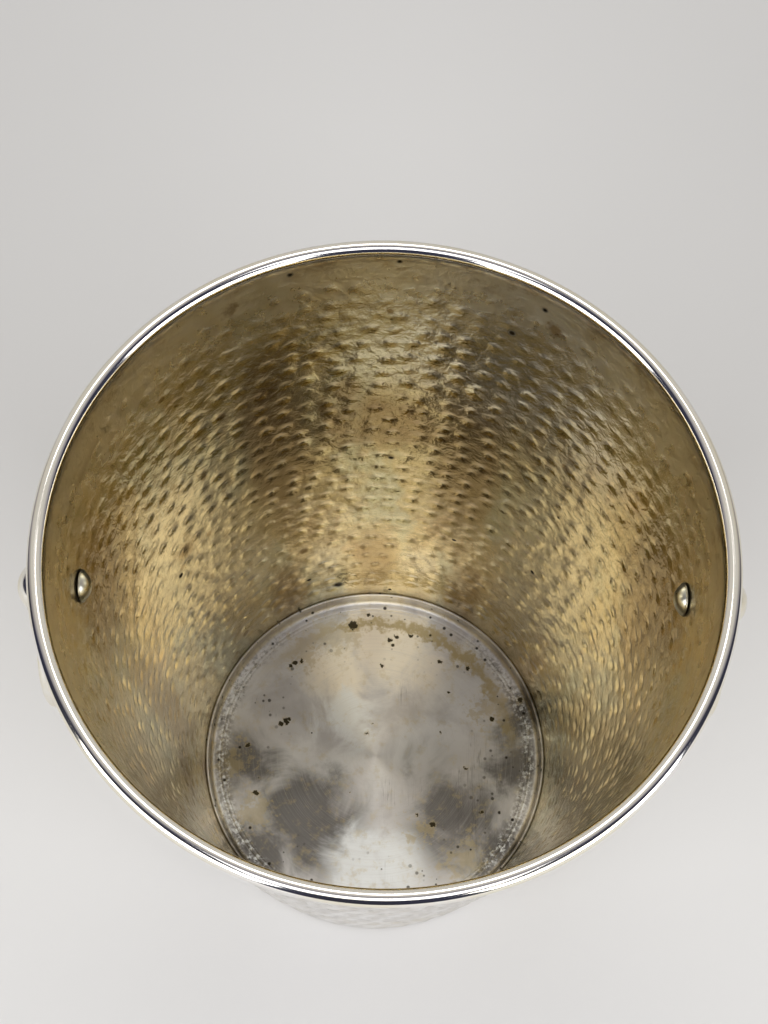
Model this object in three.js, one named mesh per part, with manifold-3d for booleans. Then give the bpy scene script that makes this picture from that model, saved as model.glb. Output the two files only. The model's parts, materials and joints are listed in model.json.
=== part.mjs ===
// Hammered champagne bucket with two ring handles.
// Millimetres, +Z up, the foot stands on z = 0 and the bucket's axis is the Z axis.
// The handles sit on the X axis: left at -X, right at +X.

import * as THREE from 'three';
import { mergeVertices } from 'three/addons/utils/BufferGeometryUtils.js';
import Module from 'manifold-3d';

const wasm = await Module();
wasm.setup();

// ---- driving sizes -------------------------------------------------------------------------

const bucketHeight = 236;
const rimOuterRadius = 97.5;
const footRadius = 68.4; // outside of the wall where it meets the table
const wallBulge = 0.8; // how far the side swells past a straight cone at mid height
const sheetThickness = 1.0;

const rimBeadWidth = 4.9; // round section of the rim moulding
const rimOverhang = 0.6; // how far the rim moulding stands inside the wall

const hemWidth = 4.0; // flat foot turned inwards
const floorHeight = 6.0; // top face of the floor pan
const floorThickness = 1.2;
const floorCoveRadius = 2.2;
const floorLipHeight = 2.4; // straight part of the lip above the cove

const handleHeight = 195.4; // where the rivet goes through the wall
const ballRadius = 8.5;
const ballSeatRadius = 4.6; // flat seat where the ball meets its plate
const ringWireRadius = 2.5;
const ringRadius = 26; // to the middle of the wire
const rivetHeadRadius = 4.9;
const rivetHeadHeight = 2.9;
const rivetShankRadius = 2.0;
const rivetShankInBall = 2.2; // how far the shank goes into the ball
const plateRadius = 10.5;
const plateThickness = 1.3;

const seam = 0.3; // gap left between pieces that are soldered or pressed together
const ringClearance = 0.3; // gap round the wire where it passes through the ball

const aroundBucket = 72; // facets round the big turned pieces
const aroundSmall = 28; // facets round rivets and plates

// ---- materials -----------------------------------------------------------------------------

const tarnishedSilver = new THREE.MeshStandardMaterial({ color: 0x8c774d, roughness: 0.38, metalness: 1 });
const brushedSilver = new THREE.MeshStandardMaterial({ color: 0xa09a86, roughness: 0.42, metalness: 1 });
const polishedSilver = new THREE.MeshStandardMaterial({ color: 0xd9d3c4, roughness: 0.12, metalness: 1 });

// ---- geometry helpers ----------------------------------------------------------------------

// Turns an [r, z] outline about the Z axis. The outline runs anticlockwise seen with r to the
// right and z up, and either closes on itself or starts and ends on the axis.
function turned(outline, segments) {
  const points = outline.map(([r, z]) => new THREE.Vector2(r, z));
  const geometry = new THREE.LatheGeometry(points, segments);
  geometry.rotateX(Math.PI / 2); // the lathe's Y axis becomes Z
  return geometry;
}

// Points on an arc in the [r, z] plane, both ends included.
function arc(centreR, centreZ, radius, fromDegrees, toDegrees, steps) {
  return Array.from({ length: steps + 1 }, (_, i) => {
    const angle = THREE.MathUtils.degToRad(fromDegrees + ((toDegrees - fromDegrees) * i) / steps);
    return [centreR + radius * Math.cos(angle), centreZ + radius * Math.sin(angle)];
  });
}

function closed(outline) {
  return [...outline, outline[0]];
}

// A geometry as a solid that can be cut and joined.
function solid(geometry) {
  const bare = geometry.clone();
  bare.deleteAttribute('normal');
  bare.deleteAttribute('uv');
  const merged = mergeVertices(bare, 1e-4);
  const triVerts = Uint32Array.from(merged.index.array);
  const vertProperties = Float32Array.from(merged.attributes.position.array);
  return new wasm.Manifold(new wasm.Mesh({ numProp: 3, vertProperties, triVerts }));
}

function geometryOf(manifold) {
  const mesh = manifold.getMesh();
  const geometry = new THREE.BufferGeometry();
  geometry.setAttribute('position', new THREE.BufferAttribute(Float32Array.from(mesh.vertProperties), 3));
  geometry.setIndex(new THREE.BufferAttribute(Uint32Array.from(mesh.triVerts), 1));
  geometry.computeVertexNormals();
  return geometry;
}

function named(name, geometry, material) {
  const mesh = new THREE.Mesh(geometry, material);
  mesh.name = name;
  return mesh;
}

// A rod along Z from one height to another.
function rod(radius, fromZ, toZ) {
  const geometry = new THREE.CylinderGeometry(radius, radius, toZ - fromZ, aroundSmall);
  geometry.rotateX(Math.PI / 2);
  geometry.translate(0, 0, (fromZ + toZ) / 2);
  return geometry;
}

// ---- the side's curve ----------------------------------------------------------------------

const rimBeadRadius = rimBeadWidth / 2;
const rimCentreRadius = rimOuterRadius - rimBeadRadius;
const rimCentreHeight = bucketHeight - rimBeadRadius;
const wallTop = rimCentreHeight - seam;
const wallTopRadius = rimOuterRadius - rimBeadWidth + rimOverhang + sheetThickness;

// Outside radius of the wall at height z: a straight cone plus a gentle swell.
function wallOuter(z) {
  const up = z / wallTop;
  return footRadius + (wallTopRadius - footRadius) * up + wallBulge * 4 * up * (1 - up);
}

function wallInner(z) {
  return wallOuter(z) - sheetThickness;
}

// How far the wall leans outwards at height z, in radians.
function wallLean(z) {
  const cone = (wallTopRadius - footRadius) / wallTop;
  const swell = (wallBulge * 4 * (1 - (2 * z) / wallTop)) / wallTop;
  return Math.atan(cone + swell);
}

// Heights at equal steps, both ends included.
function heights(from, to, steps) {
  return Array.from({ length: steps + 1 }, (_, i) => from + ((to - from) * i) / steps);
}

// ---- bucket wall ---------------------------------------------------------------------------

function bucketWall() {
  const outside = heights(sheetThickness, wallTop, 9).map((z) => [wallOuter(z), z]);
  const inside = heights(wallTop, sheetThickness * 2, 9).map((z) => [wallInner(z), z]);
  const hem = [
    [footRadius - hemWidth, sheetThickness],
    [footRadius - hemWidth, 0],
    [footRadius - sheetThickness * 0.4, 0],
  ];
  const inner = [wallInner(sheetThickness) - sheetThickness, sheetThickness];
  let wall = solid(turned(closed([...outside, ...inside, inner, ...hem]), aroundBucket));
  for (const side of [-1, 1]) {
    const hole = rod(rivetShankRadius + seam, -sheetThickness * 4, sheetThickness * 3);
    wall = wall.subtract(solid(hole.applyMatrix4(handleFrame(side))));
  }
  return named('bucket_wall', geometryOf(wall), tarnishedSilver);
}

// ---- rim moulding --------------------------------------------------------------------------

// A round bead with its lower inside quarter cut back to sit on the wall's top edge.
function rimMoulding() {
  const seatRadius = wallTopRadius + seam;
  const seatFoot = THREE.MathUtils.radToDeg(Math.acos((seatRadius - rimCentreRadius) / rimBeadRadius));
  const bead = arc(rimCentreRadius, rimCentreHeight, rimBeadRadius, -seatFoot, 180, 16);
  const outline = closed([...bead, [seatRadius, rimCentreHeight]]);
  return named('rim_moulding', turned(outline, aroundBucket), polishedSilver);
}

// ---- floor pan -----------------------------------------------------------------------------

// A disc whose edge sweeps up through a cove into a short lip that follows the wall.
function floorPan() {
  const lipTop = floorHeight + floorCoveRadius + floorLipHeight;
  const lipOuter = (z) => wallInner(z) - seam;
  const lipInner = (z) => lipOuter(z) - floorThickness;
  const coveCentreHeight = floorHeight + floorCoveRadius;
  const coveCentreRadius = lipInner(coveCentreHeight) - floorCoveRadius;
  const cove = arc(coveCentreRadius, coveCentreHeight, floorCoveRadius, 0, -90, 4);
  const underside = arc(
    coveCentreRadius, coveCentreHeight, floorCoveRadius + floorThickness, -90, 0, 4
  );
  const outline = [
    [0, floorHeight - floorThickness],
    ...underside,
    [lipOuter(lipTop), lipTop],
    [lipInner(lipTop), lipTop],
    ...cove,
    [0, floorHeight],
  ];
  return named('floor_pan', turned(outline, aroundBucket), brushedSilver);
}

// ---- handles -------------------------------------------------------------------------------

// Each handle is laid out along its own Z axis, which points straight out of the wall from the
// wall's outer face. side is -1 for the left handle and 1 for the right one.
const ballSeat = seam + plateThickness + seam; // from the wall to the ball's flat seat
const ballCentre = ballSeat + Math.sqrt(ballRadius ** 2 - ballSeatRadius ** 2);
const wireSag = ringRadius - Math.sqrt(ringRadius ** 2 - ballRadius ** 2);
const ballHoleRadius = ringWireRadius + wireSag + ringClearance;

function handleFrame(side) {
  const lean = wallLean(handleHeight);
  const outwards = new THREE.Vector3(side * Math.cos(lean), 0, -Math.sin(lean));
  const along = new THREE.Vector3(0, 1, 0);
  const across = new THREE.Vector3().crossVectors(along, outwards);
  const frame = new THREE.Matrix4().makeBasis(across, along, outwards);
  return frame.setPosition(side * wallOuter(handleHeight), 0, handleHeight);
}

// A round plate with a bevelled edge, dished on its back to the wall's curve.
function escutcheon(name, side) {
  const buried = 2; // stock that the dishing takes away
  const disc = turned(
    [
      [0, -buried],
      [plateRadius, -buried],
      [plateRadius, seam + plateThickness * 0.3],
      [plateRadius - 1.2, seam + plateThickness * 0.75],
      [ballSeatRadius + 1.8, seam + plateThickness],
      [0, seam + plateThickness],
    ],
    aroundSmall
  );
  const levels = heights(handleHeight - plateRadius - 3, handleHeight + plateRadius + 3, 4);
  const backing = turned(
    [
      [0, levels[0]],
      ...levels.map((z) => [wallOuter(z) + seam, z]),
      [0, levels[levels.length - 1]],
    ],
    aroundBucket
  );
  const hole = rod(rivetShankRadius + seam, -buried * 2, plateThickness * 3);
  const plate = solid(disc.applyMatrix4(handleFrame(side)))
    .subtract(solid(backing))
    .subtract(solid(hole.applyMatrix4(handleFrame(side))));
  return named(name, geometryOf(plate), polishedSilver);
}

// A ball with a flat seat, a cross hole for the ring and a blind hole for the rivet.
function ballMount(name, side) {
  const seatAngle = THREE.MathUtils.radToDeg(Math.asin(ballSeatRadius / ballRadius));
  const outside = arc(0, ballCentre, ballRadius, seatAngle - 90, 90, 14);
  outside[outside.length - 1][0] = 0;
  const ball = turned([[0, ballSeat], ...outside], aroundSmall);
  const crossHole = new THREE.CylinderGeometry(ballHoleRadius, ballHoleRadius, ballRadius * 3, aroundSmall);
  crossHole.translate(0, 0, ballCentre);
  const rivetHole = rod(rivetShankRadius + seam, ballSeat - 2, ballSeat + rivetShankInBall + seam);
  const body = solid(ball).subtract(solid(crossHole)).subtract(solid(rivetHole));
  return named(name, geometryOf(body).applyMatrix4(handleFrame(side)), polishedSilver);
}

// A closed ring of round wire that hangs straight down from the middle of the ball.
function ringHandle(name, side) {
  const pivot = new THREE.Vector3(0, 0, ballCentre).applyMatrix4(handleFrame(side));
  const ring = new THREE.TorusGeometry(ringRadius, ringWireRadius, 12, 48);
  ring.rotateX(Math.PI / 2);
  ring.rotateZ(Math.PI / 2);
  ring.translate(pivot.x, 0, pivot.z - ringRadius);
  return named(name, ring, polishedSilver);
}

// A rivet with its domed head inside the bucket and its shank through the wall into the ball.
function rivet(name, side) {
  const wallSag = rivetHeadRadius ** 2 / (2 * wallInner(handleHeight)); // the flat seat clears the round wall
  const headSeat = -sheetThickness - wallSag - seam;
  const domeRadius = (rivetHeadRadius ** 2 + rivetHeadHeight ** 2) / (2 * rivetHeadHeight);
  const edgeAngle = THREE.MathUtils.radToDeg(Math.asin(rivetHeadRadius / domeRadius));
  const dome = arc(0, headSeat - rivetHeadHeight + domeRadius, domeRadius, -90, edgeAngle - 90, 5);
  dome[0][0] = 0;
  const body = turned(
    [
      ...dome,
      [rivetShankRadius, headSeat],
      [rivetShankRadius, ballSeat + rivetShankInBall],
      [0, ballSeat + rivetShankInBall],
    ],
    aroundSmall
  );
  return named(name, body.applyMatrix4(handleFrame(side)), polishedSilver);
}

// ---- assembly ------------------------------------------------------------------------------

const group = new THREE.Group();
group.add(bucketWall(), rimMoulding(), floorPan());
for (const [word, side] of [['left', -1], ['right', 1]]) {
  group.add(escutcheon(`${word}_escutcheon`, side));
  group.add(ballMount(`${word}_ball_mount`, side));
  group.add(ringHandle(`${word}_ring`, side));
  group.add(rivet(`${word}_rivet`, side));
}

export default group;
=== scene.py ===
# Hammered silver-plated champagne bucket with ring handles, tarnished inside.
# Metres. The bucket's axis is Z, its foot stands on z = 0 and the handles sit on the X axis.
import json
import math

import bpy
import numpy as np
from mathutils import Matrix, Vector


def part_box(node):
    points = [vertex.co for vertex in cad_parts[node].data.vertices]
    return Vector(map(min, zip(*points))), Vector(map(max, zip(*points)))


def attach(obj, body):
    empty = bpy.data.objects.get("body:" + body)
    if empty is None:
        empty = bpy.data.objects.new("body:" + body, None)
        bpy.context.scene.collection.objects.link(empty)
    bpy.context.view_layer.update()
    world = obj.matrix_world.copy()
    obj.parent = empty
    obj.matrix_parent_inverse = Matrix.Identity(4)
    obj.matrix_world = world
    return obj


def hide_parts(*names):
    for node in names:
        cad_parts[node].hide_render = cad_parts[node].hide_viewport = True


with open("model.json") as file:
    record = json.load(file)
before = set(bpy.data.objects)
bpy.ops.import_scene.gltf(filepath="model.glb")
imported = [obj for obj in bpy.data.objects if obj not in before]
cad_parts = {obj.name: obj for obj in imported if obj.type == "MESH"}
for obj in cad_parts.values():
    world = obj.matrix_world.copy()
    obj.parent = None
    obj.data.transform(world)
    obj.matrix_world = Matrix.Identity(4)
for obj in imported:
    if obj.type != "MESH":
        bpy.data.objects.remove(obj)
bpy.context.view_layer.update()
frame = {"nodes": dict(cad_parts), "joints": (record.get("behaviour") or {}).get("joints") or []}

turn = 2 * math.pi
print("frame loaded:", len(frame["nodes"]), "CAD nodes")

rimLow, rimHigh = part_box("rim_moulding")
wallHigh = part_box("bucket_wall")[1]
floorLow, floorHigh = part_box("floor_pan")
joints = {joint["name"]: joint for joint in frame["joints"]}
ringPivot = Vector(joints["right_ring_swing"]["pos_m"])  # middle of the right ball

body = {
    "footRadius": 0.0684,  # outside of the wall at the table
    "topRadius": wallHigh.y,  # outside of the wall where the rim sits on it
    "top": wallHigh.z,
    "swell": 0.0008,  # how far the side stands out from a straight cone
    "sheet": 0.0010,
    "hem": 0.0040,  # flat foot turned inwards
    "edge": 0.00025,  # rounding of the bare edges
    "plainRows": (0.2262, 0.2295),  # heights of the grid's rows above the last strikes
}


# Outside radius of the wall at height z: a straight cone plus a parabola that is swell high in the middle.
def wallRadius(z):
    up = z / body["top"]
    cone = body["footRadius"] + (body["topRadius"] - body["footRadius"]) * up
    return cone + body["swell"] * 4 * up * (1 - up)


# Makes a mesh from a grid of points (rows, columns, 3). Columns always close on themselves. Rows close too
# when looped; otherwise the first and last row each shrink to one pole on the axis.
def gridMesh(name, points, looped=True, attributes=None):
    rows, columns = points.shape[:2]
    if looped:
        places = points.reshape(-1, 3)
        index = np.arange(rows * columns).reshape(rows, columns)
        below, above = index, np.roll(index, -1, axis=0)
    else:
        places = np.vstack([points[1:-1].reshape(-1, 3), points[0, :1], points[-1, :1]])
        index = np.arange((rows - 2) * columns).reshape(rows - 2, columns)
        below, above = index[:-1], index[1:]
    beside = np.roll(np.arange(columns), -1)
    quads = np.stack([below, below[:, beside], above[:, beside], above], axis=-1).reshape(-1, 4)
    corners = [quads.reshape(-1)]
    counts = [np.full(len(quads), 4)]
    if not looped:
        first, last = len(places) - 2, len(places) - 1
        start = np.stack([np.full(columns, first), index[0, beside], index[0]], axis=-1)
        end = np.stack([np.full(columns, last), index[-1], index[-1, beside]], axis=-1)
        corners += [start.reshape(-1), end.reshape(-1)]
        counts += [np.full(columns, 3), np.full(columns, 3)]
    corners, counts = np.concatenate(corners), np.concatenate(counts)
    mesh = bpy.data.meshes.new(name)
    mesh.vertices.add(len(places))
    mesh.vertices.foreach_set("co", places.astype(np.float32).ravel())
    mesh.loops.add(len(corners))
    mesh.loops.foreach_set("vertex_index", corners.astype(np.int32))
    mesh.polygons.add(len(counts))
    mesh.polygons.foreach_set("loop_start", (np.cumsum(counts) - counts).astype(np.int32))
    mesh.polygons.foreach_set("loop_total", counts.astype(np.int32))
    mesh.polygons.foreach_set("use_smooth", np.ones(len(counts), bool))
    for label, values in (attributes or {}).items():
        if not looped:
            values = np.concatenate([values[1:-1].ravel(), values[0, :1], values[-1, :1]])
        attribute = mesh.attributes.new(label, "FLOAT", "POINT")
        attribute.data.foreach_set("value", values.astype(np.float32).ravel())
    mesh.update(calc_edges=True)
    mesh.validate()
    piece = bpy.data.objects.new(name, mesh)
    bpy.context.scene.collection.objects.link(piece)
    return piece


# Points on an arc of the profile plane, from one angle to another in degrees.
def arc(centreRadius, centreHeight, radius, start, end, count):
    angle = np.radians(np.linspace(start, end, count))
    return np.stack([centreRadius + radius * np.cos(angle), centreHeight + radius * np.sin(angle)], axis=1)


# Points along straight stretches between the given profile points, one count of steps for each stretch.
def line(points, counts):
    stretches = []
    for first, last, count in zip(points[:-1], points[1:], counts):
        share = np.linspace(0, 1, count, endpoint=False)[:, None]
        stretches.append(np.array(first) * (1 - share) + np.array(last) * share)
    return np.vstack(stretches + [np.array([points[-1]])])


# Turns a profile of (radius, height) points about Z: x = r cos a, y = r sin a, z = height.
def turned(profile, columns):
    angle = np.arange(columns) / columns * turn
    radius, height = profile[:, :1], profile[:, 1:]
    return np.stack([radius * np.cos(angle), radius * np.sin(angle), height + 0 * angle], axis=-1)


# Smooth step from 0 at low to 1 at high.
def smoothStep(value, low, high):
    share = np.clip((value - low) / (high - low), 0, 1)
    return share * share * (3 - 2 * share)


# Slow wander round and up the bucket: a sum of a few sine waves with seeded phases, about -1 to 1.
def wander(angle, height, waves, seed):
    source = np.random.default_rng(seed)
    total = 0
    for aroundCount, metresPerWave in waves:
        phase = source.uniform(0, turn, 3)
        bend = 0.7 * np.sin(height / metresPerWave + phase[1])
        around = np.sin(aroundCount * angle + phase[0] + bend)
        total = total + around * np.sin(height / metresPerWave * turn + phase[2])
    return np.clip(total / math.sqrt(len(waves)), -1, 1)


hammering = {
    "seed": 11,
    "firstRow": 0.0205,
    "lastRow": 0.2215,
    "rowPitch": 0.0076,
    "strikePitch": 0.0083,  # along the row
    "strikeRadius": 0.0026,
    "depth": 0.00050,
    "scatter": 0.11,  # how far a strike may stray, as a share of the pitch
    "rowOffset": 0.22,  # most that a row starts ahead of the one below, in strikes
    "sizes": (0.82, 1.12),
    "forces": (0.5, 1.0),
    "oval": 0.70,  # under 1 stretches a strike along its row
    "softening": 0.45,  # share of the depth lost towards the rim
    "softenFrom": 0.175,
    "softenTo": 0.222,
    "unevenness": 0.00010,  # slow dents and swells between the strikes
    "waves": ((5, 0.09), (11, 0.055), (17, 0.031), (29, 0.023), (43, 0.017)),  # count round, metres up
    "waveSeed": 5,
    "wavesStart": (0.004, 0.03),  # heights between which the unevenness comes in
    "wavesEnd": (0.21, 0.23),  # and between which it goes
    "split": 0.00030,  # depth in the sheet where the outer and inner skins meet
    "columns": 440,
    "stepsPerRow": 7,
}


# How strongly the sheet is struck at an angle and height, 0 to 1. The strikes lie in level rows, each row
# with as many as fit its girth. A strike is (1 - d^2)^2 deep, d being the distance from its middle in
# radii, and the deepest one at a point counts.
def strikes(angle, height):
    source = np.random.default_rng(hammering["seed"])
    rowCount = int(round((hammering["lastRow"] - hammering["firstRow"]) / hammering["rowPitch"])) + 1
    rowHeight = hammering["firstRow"] + np.arange(rowCount) * hammering["rowPitch"]
    perRow = np.round(turn * wallRadius(rowHeight) / hammering["strikePitch"]).astype(int)
    most = perRow.max()
    start = np.cumsum(source.uniform(-hammering["rowOffset"], hammering["rowOffset"], rowCount)) % 1
    shift = source.normal(0, hammering["scatter"], (rowCount, most, 2))
    size = source.uniform(*hammering["sizes"], (rowCount, most))
    force = source.uniform(*hammering["forces"], (rowCount, most))
    row = np.round((height - hammering["firstRow"]) / hammering["rowPitch"]).astype(int)
    row = np.clip(row, 0, rowCount - 1)
    struck = 0
    for besideRow in (0, -1, 1):
        near = np.clip(row + besideRow, 0, rowCount - 1)
        count = perRow[near]
        along = (angle / turn) % 1 * count - start[near]
        nearest = np.round(along).astype(int)
        for besideStrike in (0, -1, 1):
            strike = nearest + besideStrike
            index = strike % count
            offAlong = (along - strike - shift[near, index, 0]) * turn * wallRadius(height) / count
            offUp = height - rowHeight[near] - shift[near, index, 1] * hammering["rowPitch"]
            radius = hammering["strikeRadius"] * size[near, index]
            apart = (offAlong ** 2 * hammering["oval"] + offUp ** 2) / radius ** 2
            dent = np.clip(1 - apart, 0, None) ** 2 * force[near, index]
            struck = np.maximum(struck, dent)
    softer = smoothStep(height, hammering["softenFrom"], hammering["softenTo"])
    return struck * (1 - hammering["softening"] * softer)


planishing = {
    "outside": {"left": 0.30, "near": 0.034, "far": 0.042},  # where the ring rests
    "inside": {"left": 0.10, "near": 0.005, "far": 0.010},  # round the rivet head
    "ringRest": 0.176,  # height of the ring's middle
}


# How much of the striking is left near a handle, 0 to 1: the sheet is planished smoother where the ring
# rests outside and where the rivet sits inside. It is left + (1 - left) times a smooth step, from near to
# far, of the distance from that place.
def planished(angle, height, side):
    about = planishing["outside" if side > 0 else "inside"]
    middle = planishing["ringRest"] if side > 0 else handle["height"]
    across = wallRadius(height) * np.abs(np.sin(angle))
    rising = smoothStep(np.hypot(across, height - middle), about["near"], about["far"])
    return about["left"] + (1 - about["left"]) * rising


# One skin of the wall as a closed grid: the struck face, at radius = wallRadius + (uneven + struck depth)
# planished, then straight down inside the sheet. side is 1 for the outer skin, which the strikes raise and
# which takes the foot's hem with it, and -1 for the inner one, which is one sheet further in.
def wallSkin(name, side):
    step = hammering["rowPitch"] / hammering["stepsPerRow"]
    struckHeights = np.arange(hammering["firstRow"] - 4 * step, hammering["lastRow"] + 4 * step, step)
    top, sheet, edge = body["top"], body["sheet"], body["edge"]
    if side > 0:
        low = [0.0, edge * 0.3, edge, 0.002, 0.006, 0.011]
    else:
        low = [sheet, sheet + edge, 0.003, 0.006, 0.0095, 0.0115]
    middle = struckHeights[struckHeights > low[-1]]
    heights = np.concatenate([low, middle, body["plainRows"], [top - edge, top]])
    angle = (np.arange(hammering["columns"]) / hammering["columns"] * turn)[None, :]
    height = heights[:, None] + 0 * angle
    struck = strikes(angle + 0 * height, height)
    uneven = wander(angle, height, hammering["waves"], hammering["waveSeed"]) * hammering["unevenness"]
    uneven = uneven * smoothStep(height, *hammering["wavesStart"])
    uneven = uneven * (1 - smoothStep(height, *hammering["wavesEnd"]))
    push = (uneven + struck * hammering["depth"]) * planished(angle, height, side)
    face = wallRadius(height) + push - (0 if side > 0 else sheet)
    face[-1] -= side * edge
    face[0] -= edge if side > 0 else 0
    down = np.linspace(top, sheet + edge, 9)
    back = np.stack([wallRadius(down) - hammering["split"], down], axis=1)
    if side > 0:
        hemEdge, footEdge = body["footRadius"] - body["hem"], body["footRadius"] - 2 * edge
        foot = line([(back[-1, 0], sheet), (hemEdge, sheet), (hemEdge, 0), (footEdge, 0)], (3, 2, 4))
        back = np.vstack([back, foot])
    back = np.repeat(back[:, None, :], hammering["columns"], axis=1)
    radius = np.vstack([face, back[:, :, 0]])
    level = np.vstack([height, back[:, :, 1]])
    strikeMap = np.vstack([struck, np.zeros(back.shape[:2])])
    if side < 0:
        radius, level, strikeMap = radius[::-1], level[::-1], strikeMap[::-1]
    points = np.stack([radius * np.cos(angle), radius * np.sin(angle), level], axis=-1)
    return gridMesh(name, points, attributes={"struck": strikeMap})


rim = {
    "columns": 512,
    "around": 40,
    "seatGap": 0.0003,  # between the bead's seat and the outside of the wall
    "waver": 0.00006,
    "waves": ((7, 0.05), (13, 0.04), (23, 0.03)),
    "waveSeed": 8,
}


# The bead: an arc from the outside of the seat over the top to the inside, closed by the seat that sits on
# the wall's edge. Its height wavers a little, as hand-finished wire does.
def rimBead():
    beadRadius = (rimHigh.z - rimLow.z) / 2
    centre = rimHigh.x - beadRadius
    seat = body["topRadius"] + rim["seatGap"]
    seatAngle = math.degrees(math.acos((seat - centre) / beadRadius))
    over = arc(centre, rimHigh.z - beadRadius, beadRadius - rim["waver"], -seatAngle, 180, rim["around"])
    level = rimHigh.z - beadRadius
    under = line([(over[-1, 0], level), (seat, level), (over[0, 0], over[0, 1])], (3, 3))[1:-1]
    points = turned(np.vstack([over, under]), rim["columns"])
    angle = (np.arange(rim["columns"]) / rim["columns"] * turn)[None, :]
    waver = wander(angle, 0.01 + 0 * angle, rim["waves"], rim["waveSeed"]) * rim["waver"]
    share = 1 + np.sin(np.linspace(-1.8, math.pi, rim["around"]))
    points[: rim["around"], :, 2] += waver * share[:, None] / 2
    return gridMesh("rim_bead", points)


floorPan = {
    "thickness": 0.0012,
    "cove": 0.0022,
    "lip": 0.0024,
    "gap": 0.00006,  # solder line between the lip and the wall
    "crown": 0.0004,  # the middle stands this much lower than the edge
    "turnedLines": ((0.0632, 0.00012), (0.0617, 0.00007)),  # radius and depth of fine rings near the edge
    "lineWidth": 0.00028,
    "coarseTo": 0.0590,  # the grid is finer from here out, for the turned lines
    "fineFrom": 0.0593,
    "dents": 0.00045,
    "columns": 288,
}


# A dished disc, a cove and a short lip. The disc is z = top - crown (1 - (r/R)^2), less a narrow
# bell-shaped groove at each turned line, plus slow dents made of two sine waves round and out.
def floorDish():
    cove, lip, thickness = floorPan["cove"], floorPan["lip"], floorPan["thickness"]
    top = floorLow.z + thickness
    lipTop = floorHigh.z

    def wallSide(z):
        return wallRadius(z) - body["sheet"] - floorPan["gap"]

    coveLevel = top + cove
    coveCentre = wallSide(coveLevel) - thickness - cove
    coarse = np.linspace(0, floorPan["coarseTo"], 44)
    radii = np.concatenate([coarse, np.linspace(floorPan["fineFrom"], coveCentre, 30)])
    inner = np.stack([radii, top - floorPan["crown"] * (1 - (radii / coveCentre) ** 2)], axis=1)
    for ringRadius, depth in floorPan["turnedLines"]:
        inner[:, 1] -= depth * np.exp(-((radii - ringRadius) / floorPan["lineWidth"]) ** 2)
    up = arc(coveCentre, coveLevel, cove, -82, 0, 10)
    lipEdge = thickness / 2
    over = arc(wallSide(lipTop) - lipEdge, lipTop - lipEdge, lipEdge, 180, 0, 9)
    down = arc(coveCentre, coveLevel, cove + thickness, 0, -90, 8)
    bottom = line([(coveCentre - 0.001, floorLow.z), (0, floorLow.z)], (6,))
    profile = np.vstack([inner, up, over, down, bottom])[::-1]
    points = turned(profile, floorPan["columns"])
    angle = (np.arange(floorPan["columns"]) / floorPan["columns"] * turn)[None, :]
    flat = (profile[:, 1:] > floorLow.z + thickness / 2) & (profile[:, :1] < coveCentre)
    share = np.clip(profile[:, :1] / coveCentre, 0, 1)
    dents = np.sin(3 * angle + 1.1) * np.sin(share * 4.2)
    dents = dents + 0.6 * np.sin(5 * angle + 2.4) * np.sin(share * 7.5)
    points[:, :, 2] += flat * dents * share * (1 - share) * floorPan["dents"]
    return gridMesh("floor_dish", points, looped=False)


handle = {
    "height": 0.1954,  # where the rivet goes through the wall
    "plateRadius": 0.0105,
    "plateThickness": 0.0013,
    "ballRadius": 0.0085,
    "seatRadius": 0.0046,  # the ball's flat seat
    "wireRadius": 0.0025,
    "ringRadius": 0.026,  # to the middle of the wire
    "rivetRadius": 0.0049,
    "rivetHeight": 0.0029,
    "shankRadius": 0.0020,
    "gap": 0.0003,
    "polished": 0.00004,  # taken off the ball in polishing
}
step = 0.0001  # for the slope of the wall at the rivet
spread = wallRadius(handle["height"] + step) - wallRadius(handle["height"] - step)
handle["lean"] = math.atan(spread / (2 * step))
# how far the ball's middle and its seat stand out from the wall
handle["ballCentre"] = (ringPivot.z - handle["height"]) / -math.sin(handle["lean"])
handle["seat"] = handle["ballCentre"] - math.sqrt(handle["ballRadius"] ** 2 - handle["seatRadius"] ** 2)


# Places points laid out along +Z onto the wall: Z becomes the wall's outward normal, Y stays Y.
def onWall(points, side):
    lean = handle["lean"]
    outwards = np.array([side * math.cos(lean), 0, -math.sin(lean)])
    along = np.array([0, 1.0, 0])
    across = np.cross(along, outwards)
    start = np.array([side * wallRadius(handle["height"]), 0, handle["height"]])
    return start + points @ np.stack([across, along, outwards])


# A dished plate with a rolled edge: the turned profile is bent to the wall by z - y^2 / 2R.
def plate(word, side):
    radius, thick = handle["plateRadius"], handle["plateThickness"]
    roll = thick * 0.42
    profile = np.vstack([
        line([(0, handle["gap"]), (radius - roll, handle["gap"])], (5,))[:-1],
        arc(radius - roll, handle["gap"] + roll, roll, -90, 70, 9),
        line([(radius - 0.0016, handle["gap"] + thick * 0.72),
              (handle["seatRadius"] + 0.0018, handle["gap"] + thick * 0.86),
              (handle["seatRadius"], handle["gap"] + thick),
              (0, handle["gap"] + thick)], (5, 4, 4)),
    ])
    points = turned(profile, 72)
    points[:, :, 2] -= points[:, :, 1] ** 2 / (2 * wallRadius(handle["height"]))
    return gridMesh(word + "_plate", onWall(points, side), looped=False)


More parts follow.
